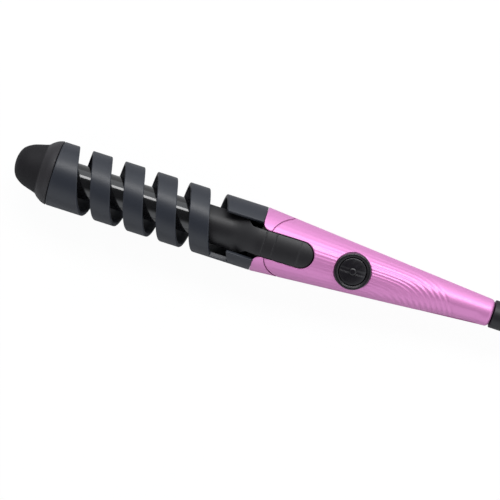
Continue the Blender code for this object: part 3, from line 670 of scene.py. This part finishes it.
def lug_shape(y_low, y_high):
    """A hinge lug with a round eye for the pivot pin."""
    eye = 1.5 * MM
    radius = 2.4 * MM
    top = 4.4 * MM
    steps = 24
    outer = [(radius, top)]
    for index in range(steps + 1):
        angle = -math.pi * index / steps
        outer.append((radius * math.cos(angle), radius * math.sin(angle)))
    outer.append((-radius, top))
    inner = []
    for index in range(len(outer)):
        angle = math.pi / 2 - 2 * math.pi * (index + 0.5) / len(outer)
        inner.append((eye * math.cos(angle), eye * math.sin(angle)))
    shape = bmesh.new()
    loops = []
    for outline in (outer, inner):
        for y in (y_low, y_high):
            loops.append([shape.verts.new((PIVOT_X + dx, y, PIVOT_Z + dz)) for dx, dz in outline])
    outer_low, outer_high, inner_low, inner_high = loops
    walls = ((outer_low, outer_high), (inner_low, inner_high),
             (outer_low, inner_low), (outer_high, inner_high))
    count = len(outer)
    for index in range(count):
        following = (index + 1) % count
        for first, second in walls:
            shape.faces.new([first[index], first[following], second[following], second[index]])
    return shape


# ---------------------------------------------------------------- handle

FACE_SIDE = [(6.4 * MM, 8.3 * MM), (7.5 * MM, 11.4 * MM), (10.2 * MM, 14.6 * MM),
             (13.2 * MM, 16.6 * MM), (17.0 * MM, 18.2 * MM), (22.0 * MM, 20.0 * MM)]
ENGRAVING_SPACING = 5.0 * MM
ENGRAVING_DEPTH = 0.12 * MM
ENGRAVING_TOP = 0.97
ENGRAVING_LENGTH = 40 * MM
DIVE_START_X = 80 * MM
DIVE_DEPTH = 0.87
DIVE_POWER = 5.5
CREST_DROP = 0.7 * MM


def seam_x(y):
    """X at which the panel's front seam passes a given distance from the midline."""
    reach = abs(y)
    if reach <= FACE_SIDE[0][1]:
        return FACE_SIDE[0][0]
    for (x0, y0), (x1, y1) in zip(FACE_SIDE, FACE_SIDE[1:]):
        if reach <= y1:
            return x0 + (x1 - x0) * (reach - y0) / (y1 - y0)
    return FACE_SIDE[-1][0]


def edge_round(distance, radius):
    """How far a surface drops at a distance from an edge, for a rounded edge."""
    if distance >= radius:
        return 0.0
    inward = radius - max(distance, 0.0)
    return radius - math.sqrt(max(radius ** 2 - inward ** 2, 0.0))


def slot_distance(x, y):
    """Distance outside the lever slot's outline, in plan."""
    centre_x = LEVER_SLOT_END_X - LEVER_SLOT_HALF_WIDTH
    if x > centre_x:
        return math.hypot(x - centre_x, y) - LEVER_SLOT_HALF_WIDTH
    across = abs(y) - LEVER_SLOT_HALF_WIDTH
    before = MOUTH_X - x
    if before > 0 and across < MOUTH_RADIUS:
        return MOUTH_RADIUS - math.hypot(before, MOUTH_RADIUS - across)
    return across


def engraved_height(x, line):
    """Height, as a share of the radius, at which an engraved line passes x.

    A line runs tailwards, then dives to the lower side. line counts metres from the last one to dive,
    and the lines dive half as far apart as that.
    """
    reach = max((x - DIVE_START_X + 0.5 * line) / ENGRAVING_LENGTH, 0.0)
    return ENGRAVING_TOP - line / ENGRAVING_LENGTH - DIVE_DEPTH * reach ** DIVE_POWER


def engraving(x, share):
    """Depth of the flowing lines at a share of the radius above the midline."""
    low, high = 0.0, 2 * ENGRAVING_LENGTH
    if share > engraved_height(x, low):
        return 0.0
    for _ in range(14):
        line = (low + high) / 2
        if engraved_height(x, line) > share:
            low = line
        else:
            high = line
    groove = 0.5 - 0.5 * math.cos(2 * math.pi * line / ENGRAVING_SPACING)
    fade_in = 0.5 + 0.5 * smooth_step(x, 20 * MM, 75 * MM)
    side_fade = 1 - smooth_step(abs(share), 0.94, 1.0)
    deeper_below = 1 + 1.8 * smooth_step(-share, -0.35, 0.2) * smooth_step(x, 78 * MM, 98 * MM)
    return ENGRAVING_DEPTH * groove * fade_in * side_fade * deeper_below


def tail_crest(x, share):
    """How far the tail falls away below a soft crest near its midline."""
    along = smooth_step(x, 100 * MM, 122 * MM) * (1 - smooth_step(x, 138 * MM, 143 * MM))
    return CREST_DROP * smooth_step(-share, -0.02, 0.46) * along


def panel_stations():
    """Sections along the panel, fine where the engraved lines sweep across."""
    stations = []
    x = 6.0 * MM
    while x < HANDLE_END_X - 4 * MM:
        stations.append(x)
        in_sweep = 84 * MM < x < 130 * MM
        near_holes = x < 38 * MM or abs(x - SWITCH_X) < 13 * MM
        if in_sweep:
            x += 0.3 * MM
        elif near_holes:
            x += 0.35 * MM
        else:
            x += 0.8 * MM
    return stations


def tail_profile(front_x):
    """The handle's rounded rear end, as (x, radius) points from front_x to the cord hole."""
    steps = 8
    corner_x = HANDLE_END_X - TAIL_CORNER
    outer = handle_radius(corner_x)
    points = [(front_x, handle_radius(front_x))]
    for index in range(steps + 1):
        angle = math.pi / 2 * index / steps
        points.append((corner_x + TAIL_CORNER * math.sin(angle) * 0.98,
                       outer - TAIL_CORNER * (1 - math.cos(angle)) * 0.75))
    points.append((HANDLE_END_X, CORD_HOLE + 0.4 * MM))
    return points


def shell_shape(stations, rows, angle_from, angle_to, drop):
    """A thin shell over an angular span; drop(x, angle) lowers its outer surface."""
    shape = bmesh.new()
    sections = [(x, handle_radius(x), handle_radius(x) - HANDLE_WALL, True) for x in stations]
    for x, radius in tail_profile(stations[-1] + 0.3 * MM):
        inner = min(handle_radius(x) - HANDLE_WALL, radius - 0.4 * MM)
        if x > HANDLE_END_X - TAIL_CORNER - 0.1 * MM:
            inner = CORD_HOLE
        sections.append((min(x, HANDLE_END_X), radius, inner, False))
    angles = [angle_from + (angle_to - angle_from) * index / rows for index in range(rows + 1)]
    outer_rows = []
    inner_rows = []
    for x, outer, inner, detailed in sections:
        outer_row = []
        inner_row = []
        for angle in angles:
            depth = drop(x, angle) if detailed else 0.0
            y = (outer - depth) * math.sin(angle)
            z = (outer - depth) * math.cos(angle)
            outer_row.append(shape.verts.new((x, y, z)))
            inner_row.append(shape.verts.new((x, inner * math.sin(angle), inner * math.cos(angle))))
        outer_rows.append(outer_row)
        inner_rows.append(inner_row)
    for index in range(len(sections) - 1):
        for j in range(rows):
            for grid in (outer_rows, inner_rows):
                shape.faces.new([grid[index][j], grid[index][j + 1],
                                 grid[index + 1][j + 1], grid[index + 1][j]])
        for j in (0, rows):
            shape.faces.new([outer_rows[index][j], outer_rows[index + 1][j],
                             inner_rows[index + 1][j], inner_rows[index][j]])
    for index in (0, -1):
        for j in range(rows):
            shape.faces.new([outer_rows[index][j], outer_rows[index][j + 1],
                             inner_rows[index][j + 1], inner_rows[index][j]])
    return shape


def slot_outline():
    """The lever slot in plan: a flared mouth, straight sides and a round end."""
    half = LEVER_SLOT_HALF_WIDTH
    centre_x = LEVER_SLOT_END_X - half
    steps, mouth_steps = 48, 12
    mouth = [(-8 * MM, half + MOUTH_RADIUS * 0.9)]
    for index in range(mouth_steps + 1):
        angle = math.radians(155 - 65 * index / mouth_steps)
        mouth.append((MOUTH_X + MOUTH_RADIUS * math.cos(angle),
                      half + MOUTH_RADIUS * (1 - math.sin(angle))))
    outline = [(x, -y) for x, y in mouth]
    for index in range(steps + 1):
        angle = math.pi * (index / steps - 0.5)
        outline.append((centre_x + half * math.cos(angle), half * math.sin(angle)))
    return outline + mouth[::-1]


def seam_curve(grow=0.0):
    """The seam in plan from -Y to +Y: from one side, round the slot, to the other side."""
    side = [(FACE_SIDE[0][0], 5 * MM)] + FACE_SIDE
    side = [(x - grow, y + grow) for x, y in curve_through(side, 6)]
    return [(x, -y) for x, y in reversed(side)] + side


def front_outline():
    """Everything in front of the seam, which the panel leaves to the back shell."""
    front = -8 * MM
    corners_left = [(front, -SEAM_CLEAR_Y), (SEAM_CLEAR_X, -SEAM_CLEAR_Y)]
    corners_right = [(SEAM_CLEAR_X, SEAM_CLEAR_Y), (front, SEAM_CLEAR_Y)]
    return corners_left + seam_curve() + corners_right


def face_outline():
    """Everything behind the seam, which the back shell leaves to the panel."""
    rear = 152 * MM
    corners = [(rear, -SEAM_CLEAR_Y), (rear, SEAM_CLEAR_Y), (SEAM_CLEAR_X, SEAM_CLEAR_Y)]
    return corners + seam_curve(SEAM_GAP)[::-1] + [(SEAM_CLEAR_X, -SEAM_CLEAR_Y)]


def switch_frame():
    """The switch's frame: on the handle's surface, with z along its outward normal."""
    slope = Matrix.Rotation(math.atan(HANDLE_TAPER), 4, "Y")
    return Matrix.Translation((SWITCH_X, 0, handle_radius(SWITCH_X))) @ slope


def panel_drop(x, angle):
    radius = handle_radius(x)
    y = radius * math.sin(angle)
    round_radius = 0.5 * MM
    depth = engraving(x, math.sin(angle)) + tail_crest(x, math.sin(angle))
    depth += edge_round(slot_distance(x, y), round_radius)
    depth += edge_round(x - seam_x(y), round_radius * 0.8)
    depth += edge_round(math.hypot(x - SWITCH_X, y) - BEZEL_RADIUS - 0.1 * MM, round_radius)
    depth += edge_round(radius * (math.pi / 2 - abs(angle)), round_radius * 0.7)
    return depth


def build_face_panel():
    half_turn = math.pi / 2 - SEAM / HANDLE_FRONT_RADIUS
    shape = shell_shape(panel_stations(), 220, -half_turn, half_turn, panel_drop)
    panel = add_piece("handle_face", shape, "pink_paint", "root", ["handle_face_panel"])
    hole = BEZEL_RADIUS + 0.2 * MM
    reach = 9 * MM
    bezel_hole = upright([(-reach, 0), (-reach, hole), (reach, hole), (reach, 0)], 96, switch_frame())
    cut(panel, [prism(slot_outline(), 4 * MM, 30 * MM), bezel_hole,
                prism(front_outline(), -1 * MM, 30 * MM)])


def back_stations():
    stations = []
    x = HANDLE_FRONT_X
    while x < HANDLE_END_X - 4 * MM:
        stations.append(x)
        x += 0.4 * MM if x < 36 * MM else 2.0 * MM
    return stations


def back_drop(x, angle):
    radius = handle_radius(x)
    y = radius * math.sin(angle)
    round_radius = 0.5 * MM
    depth = edge_round(x - HANDLE_FRONT_X, 0.2 * MM)
    if math.cos(angle) > 0:
        depth += edge_round(slot_distance(x, y), round_radius)
        depth += edge_round(seam_x(y) - SEAM_GAP - x, round_radius * 0.8)
    return depth


def full_shell(stations, rows, drop):
    """The whole tapered shell, closed round its axis."""
    shape = bmesh.new()
    rings = []
    angles = [2 * math.pi * index / rows for index in range(rows)]
    for x in stations:
        rings.append([shape.verts.new((x, (handle_radius(x) - drop(x, a)) * math.sin(a),
                                       (handle_radius(x) - drop(x, a)) * math.cos(a))) for a in angles])
    for x, radius in tail_profile(stations[-1] + 0.5 * MM):
        rings.append([shape.verts.new((min(x, HANDLE_END_X), radius * math.sin(a), radius * math.cos(a)))
                      for a in angles])
    end_wall_x = HANDLE_END_X - 4 * MM
    inner = [(HANDLE_END_X, CORD_HOLE), (end_wall_x, CORD_HOLE),
             (end_wall_x, handle_radius(end_wall_x) - HANDLE_WALL),
             (HANDLE_FRONT_X, handle_radius(HANDLE_FRONT_X) - HANDLE_WALL)]
    for x, radius in inner:
        rings.append([shape.verts.new((x, radius * math.sin(a), radius * math.cos(a))) for a in angles])
    skin(shape, rings)
    return shape


def build_back_shell():
    shape = full_shell(back_stations(), 288, back_drop)
    back = add_piece("handle_back", shape, "pink_paint", "root", ["handle_back_shell"])
    cut(back, [prism(slot_outline(), 4 * MM, 30 * MM), prism(face_outline(), -SEAM, 30 * MM)])
    for node in ("handle_screw_front", "handle_screw_rear"):
        low, high = box_from_shoulder(node)
        place = Matrix.Translation(((low.x + high.x) / 2, 0, 0))
        bore = [(-30 * MM, 0), (-30 * MM, 2.3 * MM), (-5 * MM, 2.3 * MM), (-5 * MM, 0)]
        cut(back, [upright(bore, 48, place)])
        build_screw_seat(node, place)


def build_screw_seat(node, place):
    """The post inside a screw bore, and the screw's head with its cross recess."""
    low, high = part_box(node)
    head = low.z
    name = node.replace("handle_screw", "screw_post")
    bore, radius = 1.3 * MM, 3.0 * MM
    seat, top = head + 1.9 * MM, 1.7 * MM
    post = [(seat, bore), (seat, radius), (top, radius), (top, bore)]
    add_piece(name, upright(post, 48, place), "pink_paint", "root")
    crown, rim, shank = 1.5 * MM, 2.0 * MM, 0.9 * MM
    under = head + 1.6 * MM
    profile = [(head, 0), (head, crown), (head + 0.35 * MM, rim), (under, rim),
               (under, shank), (high.z, shank), (high.z, 0)]
    screw = add_piece(f"{node}_fine", upright(profile, 48, place), "steel", "root", [node])
    long, thin = 1.15 * MM, 0.28 * MM
    outside, deep = head - 1 * MM, head + 0.9 * MM
    arms = [box((-x, -y, outside), (x, y, deep), place) for x, y in ((long, thin), (thin, long))]
    cut(screw, arms)


# ---------------------------------------------------------------- switch

def disc_height(x, y):
    """The rocker's top: a low dome with a groove along the handle."""
    reach = math.hypot(x, y)
    share = reach / ROCKER_RADIUS
    height = 1.4 * MM * (1 - 0.75 * share ** 2.4)
    groove = 1 - smooth_step(abs(y), 0, 2.4 * MM)
    height -= 0.55 * MM * groove
    return height - edge_round(ROCKER_RADIUS - reach, 0.5 * MM)


def build_rocker():
    place = switch_frame()
    segments = 288
    hole = 2.5 * MM
    steps = 40
    reaches = [hole + (ROCKER_RADIUS - hole) * index / steps for index in range(steps + 1)]
    shape = bmesh.new()
    rings = []

    def add_ring(reach, height_of):
        ring = []
        for index in range(segments):
            angle = 2 * math.pi * index / segments
            x, y = reach * math.cos(angle), reach * math.sin(angle)
            ring.append(shape.verts.new((x, y, height_of(x, y))))
        rings.append(ring)

    for reach in reaches:
        add_ring(reach, disc_height)
    underside, foot, well = -1.5 * MM, -2.7 * MM, -1.2 * MM
    for reach, z in ((ROCKER_RADIUS, underside), (4.0 * MM, underside), (3.6 * MM, foot)):
        add_ring(reach, lambda x, y, level=z: level)
    for z in (foot, well):
        rings.append([shape.verts.new((0, 0, z))])
    add_ring(hole, lambda x, y: well)
    skin(shape, rings)
    bmesh.ops.transform(shape, matrix=place, verts=shape.verts)
    add_piece("rocker_disc", shape, "gloss_black", "rocker", ["rocker"], 50)

    lens = softened([(-0.9 * MM, 0), (-0.9 * MM, 2.3 * MM), (1.35 * MM, 2.3 * MM), (1.75 * MM, 1.4 * MM),
                     (1.85 * MM, 0)], 0.4 * MM)
    add_piece("rocker_lens", upright(lens, 64, place), "gloss_black", "rocker", ["rocker_lamp_lens"])


def build_bezel():
    """The bezel ring, crowned and with a fine step round the rocker."""
    place = switch_frame()
    profile = [(-6.5 * MM, BEZEL_BORE), (-6.5 * MM, BEZEL_RADIUS), (0.2 * MM, BEZEL_RADIUS),
               (0.7 * MM, BEZEL_RADIUS - 0.35 * MM), (0.9 * MM, BEZEL_RADIUS - 0.9 * MM),
               (0.85 * MM, BEZEL_BORE + 0.9 * MM), (0.35 * MM, BEZEL_BORE + 0.5 * MM),
               (0.25 * MM, BEZEL_BORE)]
    add_piece("bezel_ring", upright(softened(profile, 0.25 * MM), 144, place), "gloss_black", "root",
              ["switch_bezel"])


# ---------------------------------------------------------------- swivel and cord

def build_swivel():
    """A hollow shaft in the handle, a thicker neck through its end, and the sleeve behind it."""
    front = SWIVEL_LOW.x
    neck_x = 139.4 * MM
    face = BACK_HIGH.x + 0.6 * MM
    rear = SWIVEL_HIGH.x
    bore, shaft, neck, socket = 1.8 * MM, 3.0 * MM, 4.6 * MM, 4.0 * MM
    corner = 1.2 * MM
    socket_x = rear - 10 * MM
    profile = [(front, bore), (front, shaft), (neck_x, shaft), (neck_x, neck),
               (face, neck), (face, SWIVEL_RADIUS), (rear - corner, SWIVEL_RADIUS),
               (rear, SWIVEL_RADIUS - corner), (rear, socket), (socket_x, socket), (socket_x, bore)]
    add_piece("swivel_body", turned(softened(profile, 0.5 * MM)), "lever_plastic", "swivel",
              ["swivel_sleeve"])


def build_strain_relief():
    """A ribbed, tapering boot where the cord leaves the swivel, made as one rigid piece."""
    start = SWIVEL_HIGH.x + 0.3 * MM
    end = RELIEF_HIGH.x
    bore = CORD_RADIUS + 0.05 * MM
    profile = [(RELIEF_LOW.x, bore), (RELIEF_LOW.x, 3.6 * MM), (start, 3.6 * MM)]
    ribs = 5
    pitch = (end - start) / ribs
    for index in range(ribs):
        x = start + index * pitch
        radius = (6.0 - 0.35 * index) * MM
        profile += [(x, radius), (x + 0.65 * pitch, radius - 0.2 * MM)]
        if index < ribs - 1:
            profile += [(x + 0.65 * pitch, 4.2 * MM), (x + pitch, 4.2 * MM)]
    profile += [(end, 4.3 * MM), (end, bore)]
    add_piece("strain_boot", turned(softened(profile, 0.45 * MM), 96), "rubber_black", "swivel",
              ["strain_relief"])


def build_cord():
    """The round cord, cut off square, with a fibre filler between its two cores."""
    start, end = CORD_LOW.x, CORD_HIGH.x
    bore = 2.55 * MM
    jacket = [(start, bore), (start, CORD_RADIUS), (end, CORD_RADIUS), (end, bore)]
    add_piece("cord_jacket", turned(softened(jacket, 0.15 * MM), 96), "rubber_black", "swivel",
              ["power_cord"])
    packing, recess = 2.5 * MM, 0.5 * MM
    filler = turned([(start, 0), (start, packing), (end - recess, packing), (end - recess, 0)], 48)
    piece = add_piece("cord_filler", filler, "wire_white", "swivel")
    core, beyond, core_y = 1.15 * MM, 5 * MM, 1.3 * MM
    hole = [(start - beyond, 0), (start - beyond, core), (end + beyond, core), (end + beyond, 0)]
    cut(piece, [turned(hole, 32, (y, 0)) for y in (-core_y, core_y)])


# ---------------------------------------------------------------- stage, light and camera

def floor_material():
    """Pale paper that the camera sees as a lit sweep, and that reflects only weakly on the object."""
    material, tree, shader = shade("floor_paper")
    tone = blend_colours(tree, noise(tree, 12, 3), (0.58, 0.58, 0.585), (0.62, 0.62, 0.622))
    tree.links.new(tone, shader.inputs["Base Color"])
    shader.inputs["Roughness"].default_value = 0.9
    shader.inputs["Specular IOR Level"].default_value = 0.1
    lit = tree.nodes.new("ShaderNodeEmission")
    lit.inputs["Strength"].default_value = 1.06
    path = tree.nodes.new("ShaderNodeLightPath")
    seen = tree.nodes.new("ShaderNodeMath")
    seen.operation = "MULTIPLY"
    seen.inputs[1].default_value = 0.9
    tree.links.new(path.outputs["Is Camera Ray"], seen.inputs[0])
    mix = tree.nodes.new("ShaderNodeMixShader")
    tree.links.new(seen.outputs["Value"], mix.inputs["Fac"])
    tree.links.new(shader.outputs["BSDF"], mix.inputs[1])
    tree.links.new(lit.outputs["Emission"], mix.inputs[2])
    tree.links.new(mix.outputs["Shader"], tree.nodes["Material Output"].inputs["Surface"])
    return material


def softbox(name, degrees, distance, size, watts):
    """A rectangular light, degrees from +Z towards +Y, that faces the middle of the object."""
    middle = SHOULDER + Vector((0.02, 0, 0))
    angle = math.radians(degrees)
    place = middle + Vector((0, distance * math.sin(angle), distance * math.cos(angle)))
    data = bpy.data.lights.new(name, "AREA")
    data.shape = "RECTANGLE"
    data.size, data.size_y = size
    data.energy = watts
    lamp = bpy.data.objects.new(name, data)
    bpy.context.scene.collection.objects.link(lamp)
    lamp.location = place
    back = (place - middle).normalized()
    above = back.cross(Vector((1, 0, 0))).normalized()
    right = above.cross(back)
    lamp.rotation_mode = "QUATERNION"
    lamp.rotation_quaternion = Matrix((right, above, back)).transposed().to_quaternion()


def light_tent():
    """A white tent, darker overhead where the camera looks in and past the tip, brighter towards +Y."""
    world = bpy.data.worlds.new("studio")
    bpy.context.scene.world = world
    world.use_nodes = True
    tree = world.node_tree
    place = tree.nodes.new("ShaderNodeTexCoord")
    parts = tree.nodes.new("ShaderNodeSeparateXYZ")
    tree.links.new(place.outputs["Generated"], parts.inputs["Vector"])
    ramps = (("Z", (0.55, 0.92), (0.94, 0.08)), ("X", (-0.95, -0.60), (0.25, 1.0)),
             ("Y", (0.10, 0.80), (1.0, 1.35)))
    level = None
    for axis, reach, levels in ramps:
        ramp = tree.nodes.new("ShaderNodeMapRange")
        ramp.interpolation_type = "SMOOTHSTEP"
        ramp.inputs["From Min"].default_value, ramp.inputs["From Max"].default_value = reach
        ramp.inputs["To Min"].default_value, ramp.inputs["To Max"].default_value = levels
        tree.links.new(parts.outputs[axis], ramp.inputs["Value"])
        product = tree.nodes.new("ShaderNodeMath")
        product.operation = "MULTIPLY"
        product.inputs[1].default_value = 1.0
        tree.links.new(ramp.outputs["Result"], product.inputs[0])
        if level:
            tree.links.new(level, product.inputs[1])
        level = product.outputs["Value"]
    background = tree.nodes["Background"]
    background.inputs["Color"].default_value = (0.93, 0.96, 1.0, 1)
    tree.links.new(level, background.inputs["Strength"])


def build_stage():
    """A plain pale floor under the cage, a light tent, and a strip light above the face side."""
    floor_z = -CAGE_RADIUS - 0.3 * MM
    shape = prism([(-3, -3), (3, -3), (3, 3), (-3, 3)], floor_z - 0.02, floor_z)
    bmesh.ops.recalc_face_normals(shape, faces=shape.faces)
    mesh = bpy.data.meshes.new("floor")
    shape.to_mesh(mesh)
    shape.free()
    mesh.materials.append(floor_material())
    floor = bpy.data.objects.new("floor", mesh)
    bpy.context.scene.collection.objects.link(floor)

    light_tent()
    softbox("key_strip", 42, 1.1, (1.4, 0.30), 7.8)


def build_camera():
    """A long lens over the face side, tilted a little towards +Y, with the tip raised in the frame."""
    tilt = math.radians(6.5)
    roll = math.radians(17.83)
    distance = 1.228
    width = 0.30165
    back = Vector((0, math.sin(tilt), math.cos(tilt)))
    level_up = Vector((0, math.cos(tilt), -math.sin(tilt)))
    level_right = Vector((1, 0, 0))
    right = level_right * math.cos(roll) + level_up * math.sin(roll)
    above = level_up * math.cos(roll) - level_right * math.sin(roll)
    target = SHOULDER - level_right * 3.0 * MM - level_up * 8.2 * MM
    data = bpy.data.cameras.new("camera")
    data.sensor_width = 36
    data.lens = 36 * distance / width
    data.clip_start = 0.05
    data.clip_end = 20
    camera = bpy.data.objects.new("camera", data)
    bpy.context.scene.collection.objects.link(camera)
    camera.location = target + back * distance
    camera.rotation_mode = "QUATERNION"
    camera.rotation_quaternion = Matrix((right, above, back)).transposed().to_quaternion()
    bpy.context.scene.camera = camera


# ---------------------------------------------------------------- carried-over CAD nodes

def finish_cad_nodes():
    """Gives every CAD node its procedural material, by the record's slot."""
    for subpart in frame["record"]["subparts"]:
        node = frame["nodes"][subpart["node"]]
        node.data.materials.clear()
        node.data.materials.append(MATERIALS[subpart["material_slot"]])


bpy.context.scene.view_settings.view_transform = "Standard"
MATERIALS = make_materials()
finish_cad_nodes()
build_tip()
build_cage()
build_barrel()
build_lever()
build_face_panel()
build_back_shell()
build_bezel()
build_rocker()
build_swivel()
build_strain_relief()
build_cord()
build_stage()
build_camera()
